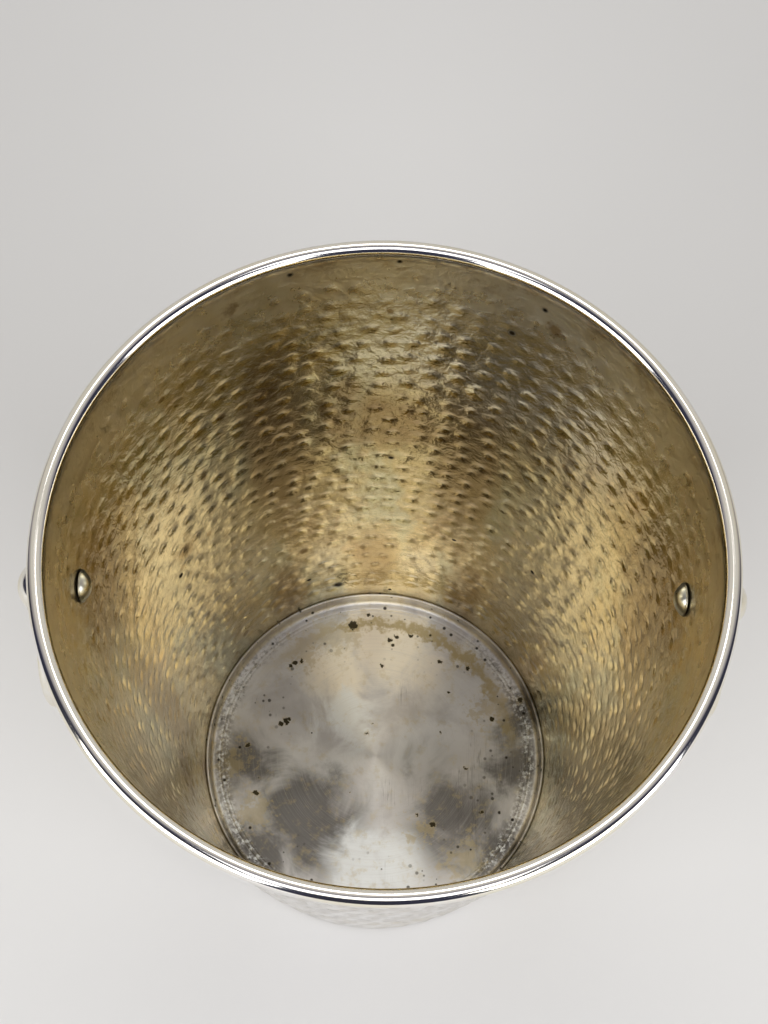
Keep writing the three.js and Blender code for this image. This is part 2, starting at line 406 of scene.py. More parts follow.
# The ball, drilled along Y: a sphere's arc from one mouth of the hole to the other, rounded at the mouths,
# then the bore, all turned about Y. What would stand below the seat is pressed flat onto it.
def ball(word, side):
    radius = handle["ballRadius"] - handle["polished"]
    sag = handle["ringRadius"] - math.sqrt(handle["ringRadius"] ** 2 - radius ** 2)
    bore = handle["wireRadius"] + sag + handle["gap"]
    mouth = math.degrees(math.asin(bore / radius)) + 5
    outside = arc(0, 0, radius, 90 - mouth, mouth - 90, 64)  # (distance from Y, place along Y)
    lip = arc(bore + 0.0005, outside[-1, 1] + 0.0001, 0.0005, -60, -180, 7)
    hole = line([(bore, lip[-1, 1]), (bore, -lip[-1, 1])], (6,))[1:-1]
    profile = np.vstack([outside, lip, hole, lip[::-1] * [1, -1]])
    angle = np.arange(96) / 96 * turn
    away, along = profile[:, :1], profile[:, 1:]
    points = np.stack([away * np.sin(angle), along + 0 * angle, away * np.cos(angle)], axis=-1)
    points[:, :, 2] = np.maximum(points[:, :, 2], handle["seat"] - handle["ballCentre"])
    points[:, :, 2] += handle["ballCentre"]
    return gridMesh(word + "_ball", onWall(points, side))


# The ring: a circle of round wire hanging from its pivot, x = -w sin b, y = (R + w cos b) sin a and
# z = (R + w cos b) cos a. The wire's radius w is a bell-shaped swelling thicker at its solder joint.
def ring(word, side):
    around = (np.arange(192) / 192 * turn)[:, None]
    across = (np.arange(28) / 28 * turn)[None, :]
    joint = 0.05 * np.exp(-((around - 2.9) / 0.05) ** 2)
    wire = handle["wireRadius"] * (1 - 0.04 + joint * 0.6 + 0 * across)
    radius = handle["ringRadius"] + wire * np.cos(across)
    points = np.stack([
        side * ringPivot.x - wire * np.sin(across),
        radius * np.sin(around),
        ringPivot.z - handle["ringRadius"] + radius * np.cos(around),
    ], axis=-1)
    return gridMesh(word + "_wire_ring", points)


# The rivet: a flat dome inside, of radius (wide^2 + high^2) / 2 high, with a worn edge, and a straight
# shank out into the ball's seat, all turned about the rivet's line.
def rivet(word, side):
    high, wide, shank = handle["rivetHeight"], handle["rivetRadius"], handle["shankRadius"]
    back = -body["sheet"] - handle["gap"] - wide ** 2 / (2 * wallRadius(handle["height"]))
    end = handle["seat"] + 0.0015
    dome = (wide ** 2 + high ** 2) / (2 * high)
    edge = math.degrees(math.asin((wide - 0.0003) / dome))
    profile = np.vstack([
        arc(0, back - high + dome, dome, -90, edge - 90, 22),
        arc(wide - 0.0004, back - 0.0004, 0.0004, -20, 90, 5),
        line([(shank, back), (shank, end), (0, end)], (8, 3)),
    ])
    profile[0, 0] = 0
    return gridMesh(word + "_rivet_head", onWall(turned(profile, 56), side), looped=False)


# Adds a node; links sockets that are given as outputs and sets the others as plain values.
def add(tree, kind, inputs=(), **settings):
    new = tree.nodes.new(kind)
    for key, value in settings.items():
        setattr(new, key, value)
    for key, value in dict(inputs).items():
        if isinstance(value, bpy.types.NodeSocket):
            tree.links.new(value, new.inputs[key])
        else:
            new.inputs[key].default_value = value
    return new


# One step of arithmetic on numbers or sockets.
def calc(tree, operation, first, second=0.0, third=0.0, clamp=False):
    inputs = {0: first, 1: second, 2: third}
    return add(tree, "ShaderNodeMath", inputs, operation=operation, use_clamp=clamp).outputs[0]


# The commonest steps under names of their own: a product, a sum, a difference and the larger of two.
def times(tree, first, second):
    return calc(tree, "MULTIPLY", first, second)


def plus(tree, first, second):
    return calc(tree, "ADD", first, second)


def minus(tree, first, second, clamp=False):
    return calc(tree, "SUBTRACT", first, second, clamp=clamp)


def larger(tree, first, second):
    return calc(tree, "MAXIMUM", first, second)


# first times second, plus third.
def timesPlus(tree, first, second, third):
    return calc(tree, "MULTIPLY_ADD", first, second, third)


# From the first colour to the second, by a share of 0 to 1.
def blendColour(tree, share, first, second):
    new = add(tree, "ShaderNodeMix", data_type="RGBA", blend_type="MIX")
    for index, value in ((0, share), (6, first), (7, second)):
        if isinstance(value, bpy.types.NodeSocket):
            tree.links.new(value, new.inputs[index])
        else:
            new.inputs[index].default_value = value if index == 0 else (*value, 1)
    return new.outputs[2]


# Lays a second colour over the first, as thick as where times weight.
def wash(tree, colour, tint, where, weight):
    return blendColour(tree, times(tree, where, weight), colour, tint)


# A value carried from low..high to 0..1, smoothly.
def fade(tree, value, low, high):
    inputs = {0: value, 1: low, 2: high, 3: 0.0, 4: 1.0}
    return add(tree, "ShaderNodeMapRange", inputs, interpolation_type="SMOOTHSTEP").outputs[0]


# The same the other way: 1 at low and 0 at high.
def fadeOut(tree, value, low, high):
    return minus(tree, 1.0, fade(tree, value, low, high))


# Cloudy noise of about 0.2 to 0.8, with scale blotches to the metre.
def grain(tree, vector, scale, detail=4.0, rough=0.55, twist=0.0):
    inputs = {"Vector": vector, "Scale": scale, "Detail": detail, "Roughness": rough, "Distortion": twist}
    return add(tree, "ShaderNodeTexNoise", inputs).outputs["Fac"]


# Object coordinates split up, with the distance from the bucket's axis.
def places(tree):
    point = add(tree, "ShaderNodeTexCoord").outputs["Object"]
    split = add(tree, "ShaderNodeSeparateXYZ", {0: point}).outputs
    flat = calc(tree, "SQRT", plus(tree, times(tree, split[0], split[0]), times(tree, split[1], split[1])))
    return {"point": point, "x": split[0], "y": split[1], "z": split[2], "radius": flat}


# Distance of the surface from one place.
def distance(tree, at, middle):
    inputs = {0: at["point"], 1: middle}
    return add(tree, "ShaderNodeVectorMath", inputs, operation="DISTANCE").outputs["Value"]


# Coordinates that run round the axis without a seam: x/r and y/r times around, then r out + z up.
def roundTheAxis(tree, at, around, out, up):
    across = times(tree, calc(tree, "DIVIDE", at["x"], at["radius"]), around)
    along = times(tree, calc(tree, "DIVIDE", at["y"], at["radius"]), around)
    away = plus(tree, times(tree, at["radius"], out), times(tree, at["z"], up))
    return add(tree, "ShaderNodeCombineXYZ", {0: across, 1: along, 2: away}).outputs[0]


# Small round spots scattered by a Voronoi pattern: only cells whose random number is under share have one.
def spots(tree, vector, scale, share, size):
    cells = add(tree, "ShaderNodeTexVoronoi", {"Vector": vector, "Scale": scale, "Randomness": 1.0})
    split = add(tree, "ShaderNodeSeparateColor", {0: cells.outputs["Color"]}).outputs
    chosen = calc(tree, "LESS_THAN", split[0], share)
    wide = timesPlus(tree, split[1], size, size * 0.35)
    inside = minus(tree, 1.0, calc(tree, "DIVIDE", cells.outputs["Distance"], wide), clamp=True)
    return times(tree, fade(tree, inside, 0.0, 0.5), chosen)


# One soft-edged patch: 1 - smooth step of the distance from its middle, from a quarter of its reach to all
# of it. Ragged noise frays its edge.
def patch(tree, at, middle, reach, ragged=None, raggedness=0.0):
    apart = distance(tree, at, middle)
    if ragged is not None:
        apart = plus(tree, apart, times(tree, minus(tree, ragged, 0.5), raggedness))
    return fadeOut(tree, apart, reach * 0.25, reach)


# An oval patch on the wall, given its direction and width in degrees and its height and tallness in
# metres: 1 - smooth step of (2 (1 - cos of the angle apart) / width^2 + (height apart / tallness)^2).
def wallPatch(tree, at, spot, ragged):
    direction, height, wide, tall = spot
    across = times(tree, at["x"], math.cos(math.radians(direction)))
    facing = timesPlus(tree, at["y"], math.sin(math.radians(direction)), across)
    apart = minus(tree, 1.0, calc(tree, "DIVIDE", facing, at["radius"]))
    apart = times(tree, apart, 2 / math.radians(wide) ** 2)
    up = calc(tree, "DIVIDE", minus(tree, at["z"], height), tall)
    apart = plus(tree, apart, times(tree, up, up))
    apart = plus(tree, apart, times(tree, minus(tree, ragged, 0.5), 1.6))  # frayed by the noise
    return fadeOut(tree, apart, 0.1, 1.4)


# The strongest of several patches at every point.
def strongest(tree, patches):
    total = patches[0]
    for one in patches[1:]:
        total = larger(tree, total, one)
    return total


# A place on the inside of the wall, from its direction in degrees and its height.
def onInside(direction, height):
    radius = wallRadius(height) - body["sheet"]
    angle = math.radians(direction)
    return (radius * math.cos(angle), radius * math.sin(angle), height)


# Long thin scratches: noise stretched along a turned direction, cut to thin threads, shown only in places.
def scratches(tree, at, degrees, across, along, thin=0.014, share=0.34):
    angles = [math.radians(angle) for angle in degrees]
    inputs = {"Vector": at["point"], "Rotation": angles, "Scale": (across, along, along)}
    lengthwise = add(tree, "ShaderNodeMapping", inputs).outputs[0]
    threads = grain(tree, lengthwise, 1.0, 1.0, 0.4)
    middle = calc(tree, "ABSOLUTE", minus(tree, threads, 0.5))
    thread = fadeOut(tree, middle, 0.0, thin)
    areas = grain(tree, at["point"], 34.0 + degrees[2] * 0.1, 2.0)  # in other places for each turn
    where = fade(tree, areas, 1.0 - share - 0.05, 1.0 - share + 0.05)
    return times(tree, thread, where)


# Several sets of scratches, each given by its turn in degrees, its fineness across and along and, if they
# are unusual, its thinness and share. The strongest counts.
def scratchSets(tree, at, sets):
    return strongest(tree, [scratches(tree, at, *one) for one in sets])


# A metal surface with bumps given as (height, strength, distance). Anisotropy is for turned metal, whose
# fine rings run round the axis.
def metal(tree, colour, rough, bumps, anisotropy=0.0):
    inputs = {"Metallic": 1.0, "Base Color": colour, "Roughness": rough}
    shader = add(tree, "ShaderNodeBsdfPrincipled", inputs)
    normal = None
    for height, strength, deep in bumps:
        inputs = {"Height": height, "Strength": strength, "Distance": deep}
        if normal is not None:
            inputs["Normal"] = normal
        normal = add(tree, "ShaderNodeBump", inputs).outputs[0]
    tree.links.new(normal, shader.inputs["Normal"])
    if anisotropy:
        shader.inputs["Anisotropic"].default_value = anisotropy
        shader.inputs["Anisotropic Rotation"].default_value = 0.25
        tangent = add(tree, "ShaderNodeTangent", direction_type="RADIAL", axis="Z")
        tree.links.new(tangent.outputs[0], shader.inputs["Tangent"])
    output = add(tree, "ShaderNodeOutputMaterial")
    tree.links.new(shader.outputs[0], output.inputs[0])


# An empty material and its node tree.
def newMaterial(name):
    material = bpy.data.materials.new(name)
    material.use_nodes = True
    material.node_tree.nodes.clear()
    return material, material.node_tree


insideFinish = {
    "clean": (0.85, 0.755, 0.50),
    "golden": (0.77, 0.64, 0.37),
    "brownTarnishAndShade": (0.42, 0.31, 0.17),
    "grey": (0.93, 0.86, 0.68),
    "olive": (0.67, 0.655, 0.475),
    "amber": (0.84, 0.65, 0.38),
    "wearAndPaintedReflection": (0.89, 0.82, 0.61),
    "bare": (0.93, 0.935, 0.90),
    "black": (0.030, 0.024, 0.016),
    "rough": 0.16,
    # direction in degrees, height, width in degrees and tallness of broad patches, painted reflection and
    # painted shade
    "paintedReflectionPatches": ((38, 0.100, 17, 0.062), (148, 0.115, 20, 0.062), (90, 0.192, 15, 0.028),
                    (107, 0.040, 6, 0.018), (77, 0.040, 7, 0.016), (134, 0.072, 11, 0.030),
                    (42, 0.050, 10, 0.030)),
    "paintedShadePatches": ((117, 0.140, 9, 0.060), (69, 0.115, 10, 0.058), (90, 0.142, 20, 0.018),
                    (6, 0.170, 16, 0.050), (176, 0.175, 14, 0.040), (92, 0.040, 8, 0.034),
                    (121, 0.030, 8, 0.026), (62, 0.028, 8, 0.026), (182, 0.080, 8, 0.060)),
    # direction in degrees, height and reach of small round marks
    "barePatch": (62, 0.205, 0.066),
    "stains": ((99, 0.163, 0.010), (92, 0.151, 0.007), (104, 0.154, 0.005), (118, 0.172, 0.006),
               (196, 0.052, 0.016), (148, 0.118, 0.007), (57, 0.219, 0.005), (121, 0.222, 0.004),
               (188, 0.0125, 0.009)),
    "specks": ((104, 0.0215, 0.0032), (65, 0.2075, 0.0020), (88, 0.118, 0.0015),
               (108.8, 0.2290, 0.0014), (88.3, 0.2300, 0.0012), (59.8, 0.2255, 0.0014)),
    # turn in degrees, fineness across and along, thinness and share of scratches
    "scratches": (((20, 35, 70), 900.0, 16.0, 0.012, 0.28), ((-30, 10, 15), 1000.0, 20.0, 0.010, 0.25)),
    "halo": 0.0007,  # width of the grime round a rivet head
}


# Tarnished plate inside the wall: golden-brown clouds, worn bright on the strikes, greyer near the rim, with
# a nearly clean patch, brown stains, black specks and a few scratches. Light patches are painted reflection;
# dark patches, dark dashes between the strikes, the darker foot and a line under the bead are painted shade.
def tarnishedInside():
    material, tree = newMaterial("tarnished_inside")
    look = insideFinish
    at = places(tree)
    clouds = grain(tree, at["point"], 26.0, 5.0, 0.6, 0.4)
    mottle = grain(tree, at["point"], 170.0, 4.0, 0.65)
    streaks = grain(tree, roundTheAxis(tree, at, 2.2, 0.0, 190.0), 1.0, 4.0, 0.6)
    struck = add(tree, "ShaderNodeAttribute", attribute_name="struck").outputs["Fac"]
    colour = blendColour(tree, fade(tree, clouds, 0.34, 0.66), look["golden"], look["clean"])
    # light patches where the lamps' reflections fall on the wall: painted reflection
    wearAndPaintedReflection = strongest(tree, [wallPatch(tree, at, spot, clouds) for spot in look["paintedReflectionPatches"]])
    # dark patches where the wall reflects dark parts of the room: painted shade
    paintedShade = strongest(tree, [wallPatch(tree, at, spot, clouds) for spot in look["paintedShadePatches"]])
    hue = grain(tree, roundTheAxis(tree, at, 3.1, 0.0, 17.0), 1.0, 4.0, 0.62)
    colour = wash(tree, colour, look["olive"], fade(tree, hue, 0.49, 0.62), 0.85)
    amber = minus(tree, 0.6, fade(tree, hue, 0.34, 0.48), clamp=True)
    colour = blendColour(tree, amber, colour, look["amber"])
    colour = wash(tree, colour, look["wearAndPaintedReflection"], wearAndPaintedReflection, 0.8)
    # the brown colour serves both real tarnish and this painted shade
    colour = wash(tree, colour, look["brownTarnishAndShade"], paintedShade, 0.72)
    colour = wash(tree, colour, look["brownTarnishAndShade"], fade(tree, mottle, 0.50, 0.74), 0.55)
    nearRim = fade(tree, plus(tree, at["z"], times(tree, clouds, 0.05)), 0.205, 0.252)
    colour = wash(tree, colour, look["grey"], nearRim, 0.8)
    direction, height, reach = look["barePatch"]
    bare = patch(tree, at, onInside(direction, height), reach, clouds, 0.05)
    colour = wash(tree, colour, look["bare"], bare, 0.85)
    colour = wash(tree, colour, look["wearAndPaintedReflection"], fade(tree, struck, 0.3, 0.95), 0.35)
    colour = wash(tree, colour, look["brownTarnishAndShade"], fade(tree, streaks, 0.52, 0.75), 0.30)
    stain = 0
    for direction, height, reach in look["stains"]:
        stain = larger(tree, stain, patch(tree, at, onInside(direction, height), reach, mottle, 0.012))
    freckles = spots(tree, at["point"], 130.0, 0.040, 0.26)
    specks = spots(tree, at["point"], 210.0, 0.018, 0.24)
    # short dark runs between the strikes: painted shade in the gaps between the glints
    paintedShadeDashes = grain(tree, roundTheAxis(tree, at, 62.0, 0.0, 190.0), 1.0, 2.0, 0.5)
    paintedShadeDashes = times(tree, fade(tree, paintedShadeDashes, 0.56, 0.68), fadeOut(tree, struck, 0.1, 0.5))
    paintedShadeDashes = times(tree, paintedShadeDashes, minus(tree, 0.6, nearRim, clamp=True))
    stain = larger(tree, stain, times(tree, paintedShadeDashes, 0.4))
    stain = larger(tree, stain, freckles)
    # stain here also carries the painted shade of the dashes
    colour = wash(tree, colour, look["brownTarnishAndShade"], stain, 0.8)
    for direction, height, reach in look["specks"]:
        specks = larger(tree, specks, patch(tree, at, onInside(direction, height), reach))
    smudges = grain(tree, roundTheAxis(tree, at, 9.0, 0.0, 120.0), 1.0, 5.0, 0.65)
    smudges = times(tree, fade(tree, smudges, 0.50, 0.70), fade(tree, at["z"], 0.214, 0.231))
    colour = wash(tree, colour, look["brownTarnishAndShade"], smudges, 0.6)
    # painted shade: darker at the foot where the wall meets the floor, and a thin dark line just under the
    # bead
    foot = fadeOut(tree, at["z"], 0.0105, 0.0165)
    dark = larger(tree, specks, times(tree, foot, 0.35))
    dark = larger(tree, dark, times(tree, fade(tree, at["z"], 0.2308, 0.2326), 0.9))
    for side in (-1, 1):  # grime round each rivet head
        seat = (side * (wallRadius(handle["height"]) - body["sheet"]), 0, handle["height"])
        apart = distance(tree, at, seat)
        halo = fadeOut(tree, apart, handle["rivetRadius"], handle["rivetRadius"] + look["halo"])
        dark = larger(tree, dark, times(tree, halo, 0.85))
    colour = blendColour(tree, dark, colour, look["black"])
    marks = scratchSets(tree, at, look["scratches"])
    colour = wash(tree, colour, look["brownTarnishAndShade"], marks, 0.35)
    rough = timesPlus(tree, mottle, 0.22, look["rough"] - 0.11)
    rough = plus(tree, rough, times(tree, larger(tree, dark, times(tree, nearRim, 0.6)), 0.25))
    rough = minus(tree, rough, times(tree, struck, 0.09))
    fine = grain(tree, at["point"], 900.0, 3.0, 0.6)
    wrinkles = grain(tree, at["point"], 330.0, 2.0, 0.5, 0.6)
    bumps = ((wrinkles, 0.40, 0.0005), (mottle, 0.30, 0.0004),
             (streaks, 0.25, 0.00012), (fine, 0.15, 0.0001))
    metal(tree, colour, rough, bumps)
    return material


outsideFinish = {
    "silver": (0.76, 0.73, 0.68),
    "yellowed": (0.66, 0.58, 0.40),
    "struck": (0.40, 0.35, 0.25),
    "freckle": (0.30, 0.24, 0.14),
    "grime": (0.22, 0.18, 0.11),
    "rough": 0.10,
    "halo": 0.0016,  # width of the grime round a plate
    "scratches": (((10, 25, 40), 900.0, 14.0, 0.012, 0.30), ((-40, 15, 5), 1100.0, 18.0, 0.010, 0.28)),
}


# The outside is cleaner: bright plate, yellowed in soft clouds, a little darker on each strike.
def brightOutside():
    material, tree = newMaterial("bright_outside")
    look = outsideFinish
    at = places(tree)
    clouds = grain(tree, at["point"], 22.0, 4.0, 0.6, 0.3)
    mottle = grain(tree, at["point"], 150.0, 4.0, 0.6)
    streaks = grain(tree, roundTheAxis(tree, at, 3.0, 0.0, 240.0), 1.0, 3.0, 0.6)
    struck = add(tree, "ShaderNodeAttribute", attribute_name="struck").outputs["Fac"]
    colour = wash(tree, look["silver"], look["yellowed"], fade(tree, clouds, 0.42, 0.72), 0.7)
    colour = wash(tree, colour, look["struck"], struck, 0.24)
    freckles = spots(tree, at["point"], 170.0, 0.03, 0.13)
    colour = wash(tree, colour, look["freckle"], freckles, 0.6)
    edges = fadeOut(tree, at["z"], 0.0, 0.004)
    underRim = fade(tree, at["z"], 0.2285, 0.2320)
    grime = larger(tree, edges, underRim)
    for side in (-1, 1):
        seat = (side * wallRadius(handle["height"]), 0, handle["height"])
        apart = distance(tree, at, seat)
        halo = fadeOut(tree, apart, handle["plateRadius"], handle["plateRadius"] + look["halo"])
        grime = larger(tree, grime, halo)
    colour = wash(tree, colour, look["grime"], grime, 0.7)
    marks = scratchSets(tree, at, look["scratches"])
    rough = timesPlus(tree, mottle, 0.14, look["rough"] - 0.07)
    rough = plus(tree, rough, times(tree, larger(tree, marks, grime), 0.15))
    metal(tree, colour, rough, ((streaks, 0.12, 0.0001), (marks, 0.08, 0.0001)))
    return material


floorFinish = {
    "silver": (0.84, 0.83, 0.83),
    "dull": (0.62, 0.60, 0.60),
    "golden": (0.60, 0.49, 0.26),
    "dark": (0.075, 0.068, 0.064),
    "paintedWarmHighlight": (1.0, 0.93, 0.81),
    "paleAndPaintedCoolHighlight": (0.94, 0.97, 1.0),
    "black": (0.022, 0.018, 0.012),
    "rough": 0.33,
    # x, y and reach of soft areas, in millimetres
    "paintedShadeAreas": ((-24, -29, 32), (34, -24, 34), (57, -4, 24), (-56, -4, 24), (-46, -44, 24),
                  (52, -36, 22), (62, 20, 16)),
    "paintedWarmHighlightAreas": ((4, 46, 27), (-14, 34, 20)),
    "paintedCoolHighlightAreas": ((2, -46, 24), (-14, 16, 16)),
    "stains": ((-19, 52, 12), (-30, 44, 8), (-60, -4, 9), (19, -30, 5), (37, -42, 10), (-47, -26, 7),
               (46, 20, 7)),
    "pits": ((-10.4, 55.7, 3.4), (5.3, 49.4, 1.7), (8.0, 51.0, 1.3), (6.5, 47.2, 1.5),
             (14.0, 51.5, 1.1), (-4.0, 60.5, 1.4), (-37, 13.3, 2.2), (-38.8, 12.2, 1.5),
             (-35.6, 14.2, 1.3), (-3.5, 9.0, 1.6), (-1.5, 13.0, 0.9), (-47.8, -16.9, 1.9),
             (23.8, -27.9, 1.9), (17.3, -24.4, 1.1), (43.5, -22.5, 1.1), (26.4, 40.2, 1.4),
             (48, 16, 1.8), (36.8, -4.8, 1.2), (-34.2, 38.5, 1.6), (-31.5, 39.5, 1.3), (-36, 37, 1.2),
             (38, 37.8, 1.6), (59.7, 24.4, 2.2), (-9.5, -15.5, 0.8), (30, 27, 0.9), (27, 10, 0.9),
             (-52.0, 3.0, 1.5), (2, 38, 1.1)),
    "ringStain": 0.0645,  # radius of a narrow tarnished ring
    "crustBand": 0.0672,  # radius of the unpolished band
    # turn in degrees, fineness across and along
    "scratches": (((0, 0, 50), 800.0, 22.0), ((0, 0, -35), 900.0, 26.0), ((0, 0, 12), 700.0, 20.0)),
}


# The floor: grey plate turned in fine rings, duller in clouds, with soft areas of painted shade and of
# painted warm and cool highlights, a ragged golden arc and a speckled band near the edge, partly painted
# shade, pits and specks, and scratches.
def turnedFloor():
    material, tree = newMaterial("turned_floor")
    look = floorFinish
    at = places(tree)
    level = floorLow.z + floorPan["thickness"]
    clouds = grain(tree, at["point"], 42.0, 5.0, 0.62, 0.5)
    mottle = grain(tree, at["point"], 260.0, 4.0, 0.65)
    rings = grain(tree, roundTheAxis(tree, at, 1.4, 2600.0, 0.0), 1.0, 3.0, 0.7)
    wideRings = grain(tree, roundTheAxis(tree, at, 0.9, 620.0, 0.0), 1.0, 2.0, 0.6)

    def areas(key, ragged, raggedness):
        soft = [((x / 1000, y / 1000, level), reach / 1000) for x, y, reach in look[key]]
        return strongest(tree, [patch(tree, at, middle, reach, ragged, raggedness) for middle, reach in soft])

    colour = blendColour(tree, fade(tree, clouds, 0.38, 0.68), look["silver"], look["dull"])
    # dark soft areas where the brushed floor's reflection is dark: painted shade
    colour = wash(tree, colour, look["dark"], areas("paintedShadeAreas", clouds, 0.06), 0.86)
    # warm bright areas at the back and cool ones at the front: painted highlights
    colour = wash(tree, colour, look["paintedWarmHighlight"], areas("paintedWarmHighlightAreas", clouds, 0.05), 0.95)
    colour = wash(tree, colour, look["paleAndPaintedCoolHighlight"], areas("paintedCoolHighlightAreas", clouds, 0.05), 0.95)
    colour = wash(tree, colour, look["dull"], fade(tree, rings, 0.45, 0.75), 0.22)
    colour = wash(tree, colour, look["golden"], fade(tree, mottle, 0.52, 0.72), 0.30)
    # tarnish: a narrow ring that shows on the far right, loose stains, and a dull yellow edge
    narrow = minus(tree, timesPlus(tree, mottle, 0.016, at["radius"]), look["ringStain"])
    narrow = calc(tree, "ABSOLUTE", narrow)
    ringStain = fadeOut(tree, narrow, 0.0006, 0.0040)
    ringStain = times(tree, ringStain, wallPatch(tree, at, (70, level, 62, 0.05), clouds))
    stain = larger(tree, ringStain, times(tree, areas("stains", mottle, 0.05), 0.5))
    edge = fade(tree, timesPlus(tree, clouds, 0.006, at["radius"]), 0.0722, 0.0750)
    stain = larger(tree, stain, times(tree, edge, 0.35))
    colour = wash(tree, colour, look["golden"], stain, 0.85)
    # a speckled band, pale and dark, where the disc was never polished; it is kept to the left and right
    # sides, where the floor's reflection is dark, so its dark specks are partly painted shade
    band = minus(tree, timesPlus(tree, clouds, 0.008, at["radius"]), look["crustBand"])
    band = calc(tree, "ABSOLUTE", band)
    band = fadeOut(tree, band, 0.0010, 0.0042)
    sideways = calc(tree, "DIVIDE", calc(tree, "ABSOLUTE", at["x"]), at["radius"])
    band = times(tree, band, fade(tree, sideways, 0.45, 0.85))
    crust = grain(tree, at["point"], 620.0, 4.0, 0.7)
    darkCrustAndShade = times(tree, band, fade(tree, crust, 0.50, 0.58))
    paleCrust = times(tree, band, fade(tree, minus(tree, 1.0, crust), 0.52, 0.60))
    colour = wash(tree, colour, look["dark"], darkCrustAndShade, 0.45)
    colour = wash(tree, colour, look["paleAndPaintedCoolHighlight"], paleCrust, 0.55)
    # pits and specks, thicker towards the edge
    thick = fade(tree, timesPlus(tree, clouds, 0.03, at["radius"]), 0.048, 0.075)
    dust = times(tree, spots(tree, at["point"], 360.0, 0.34, 0.27), thick)
    dust = larger(tree, dust, spots(tree, at["point"], 190.0, 0.03, 0.085))
    crumbs = grain(tree, at["point"], 750.0, 3.0, 0.6)
    sunk = areas("pits", crumbs, 0.0030)
    colour = wash(tree, colour, look["golden"], sunk, 0.8)
    pits = larger(tree, dust, fade(tree, sunk, 0.45, 0.75))
    colour = wash(tree, colour, look["black"], pits, 0.9)
    marks = scratchSets(tree, at, look["scratches"])
    colour = wash(tree, colour, look["dark"], marks, 0.40)
    rough = timesPlus(tree, mottle, 0.16, look["rough"] - 0.08)
    rough = plus(tree, rough, times(tree, larger(tree, stain, pits), 0.15))
    bumps = ((rings, 0.12, 0.00010), (wideRings, 0.12, 0.00020),
             (mottle, 0.20, 0.00020), (pits, -0.6, 0.0003))
    metal(tree, colour, rough, bumps, anisotropy=0.9)
    return material


rimFinish = {
    "silver": (0.91, 0.89, 0.87),
    # on the bead the yellowed colour is the painted cream reflection on its outer side
    "yellowed": (0.86, 0.81, 0.66),
    "grime": (0.20, 0.17, 0.12),
    "rough": 0.10,
}


# Polished bead: bright, with a painted cream reflection on its outer side, hairline polishing marks and a few
# nicks, painted shade at its inner foot, and darker underneath.
def polishedRim():
    material, tree = newMaterial("polished_rim")
    look = rimFinish
    at = places(tree)
    clouds = grain(tree, at["point"], 40.0, 3.0, 0.55)
    hair = grain(tree, roundTheAxis(tree, at, 4.0, 1800.0, 1800.0), 1.0, 3.0, 0.6)
    # the cream band on the bead's outer side: painted reflection
    outer = fade(tree, at["radius"], rimHigh.x - 0.0024, rimHigh.x - 0.0008)
    paintedCreamReflection = times(tree, outer, fade(tree, clouds, 0.30, 0.60))
    colour = wash(tree, look["silver"], look["yellowed"], paintedCreamReflection, 0.8)
    nicks = spots(tree, at["point"], 140.0, 0.03, 0.14)
    under = fadeOut(tree, at["z"], rimLow.z, rimLow.z + 0.0012)
    level = (rimLow.z + rimHigh.z) / 2  # the inner foot of the bead, where it meets the wall
    # painted shade at the bead's inner foot, where it reflects the dark inside of the bucket
    paintedInnerShade = fadeOut(tree, at["z"], level + 0.0002, level + 0.0009)
    paintedInnerShade = times(tree, paintedInnerShade, calc(tree, "LESS_THAN", at["radius"], body["topRadius"]))
    under = larger(tree, under, paintedInnerShade)
    # grime here carries the nicks, the darker underside and the painted shade at the inner foot
    colour = wash(tree, colour, look["grime"], larger(tree, nicks, under), 0.6)
    rough = timesPlus(tree, clouds, 0.06, look["rough"] - 0.03)
    rough = plus(tree, rough, times(tree, nicks, 0.2))
    metal(tree, colour, rough, ((hair, 0.05, 0.00005), (nicks, -0.3, 0.0002)))
    return material


fittingFinish = {
    "silver": (0.88, 0.86, 0.80),
    "yellowed": (0.78, 0.70, 0.50),
    "grime": (0.10, 0.08, 0.05),
    "rough": 0.12,
    "scratches": ((25, 40, 60), 1300.0, 40.0, 0.014, 0.5),
}


# Cast and drawn fittings: polished plate, yellowed in clouds, specked, and grimy round the seats.
def polishedFittings():
    material, tree = newMaterial("polished_fittings")
    look = fittingFinish
    at = places(tree)
    clouds = grain(tree, at["point"], 90.0, 4.0, 0.6, 0.3)
    fine = grain(tree, at["point"], 700.0, 3.0, 0.6)
    colour = wash(tree, look["silver"], look["yellowed"], fade(tree, clouds, 0.40, 0.70), 0.8)
    grime = 0
    for side in (-1, 1):  # the joint between plate and ball
        seat = Vector(onWall(np.array([0, 0, handle["seat"]]), side))
        apart = minus(tree, distance(tree, at, seat), handle["seatRadius"])
        seam = fadeOut(tree, calc(tree, "ABSOLUTE", apart), 0.0003, 0.0013)
        grime = larger(tree, grime, seam)
    specks = spots(tree, at["point"], 190.0, 0.05, 0.20)
    dark = times(tree, larger(tree, grime, specks), 0.75)
    colour = blendColour(tree, dark, colour, look["grime"])
    marks = scratches(tree, at, *look["scratches"])
    rough = timesPlus(tree, clouds, 0.14, look["rough"] - 0.05)
    rough = plus(tree, rough, times(tree, larger(tree, dark, marks), 0.2))
    metal(tree, colour, rough, ((fine, 0.10, 0.00006), (marks, -0.15, 0.0001)))
    return material


rivetFinish = {
    "silver": (0.72, 0.71, 0.62),
    "green": (0.50, 0.52, 0.36),
    "grime": (0.07, 0.06, 0.035),
    "rough": 0.30,
    "seam": (0.0053, 0.0062),  # distances from the head's crown between which the grime comes in
    "headReach": 0.02,  # what is further off belongs to the other rivet
}


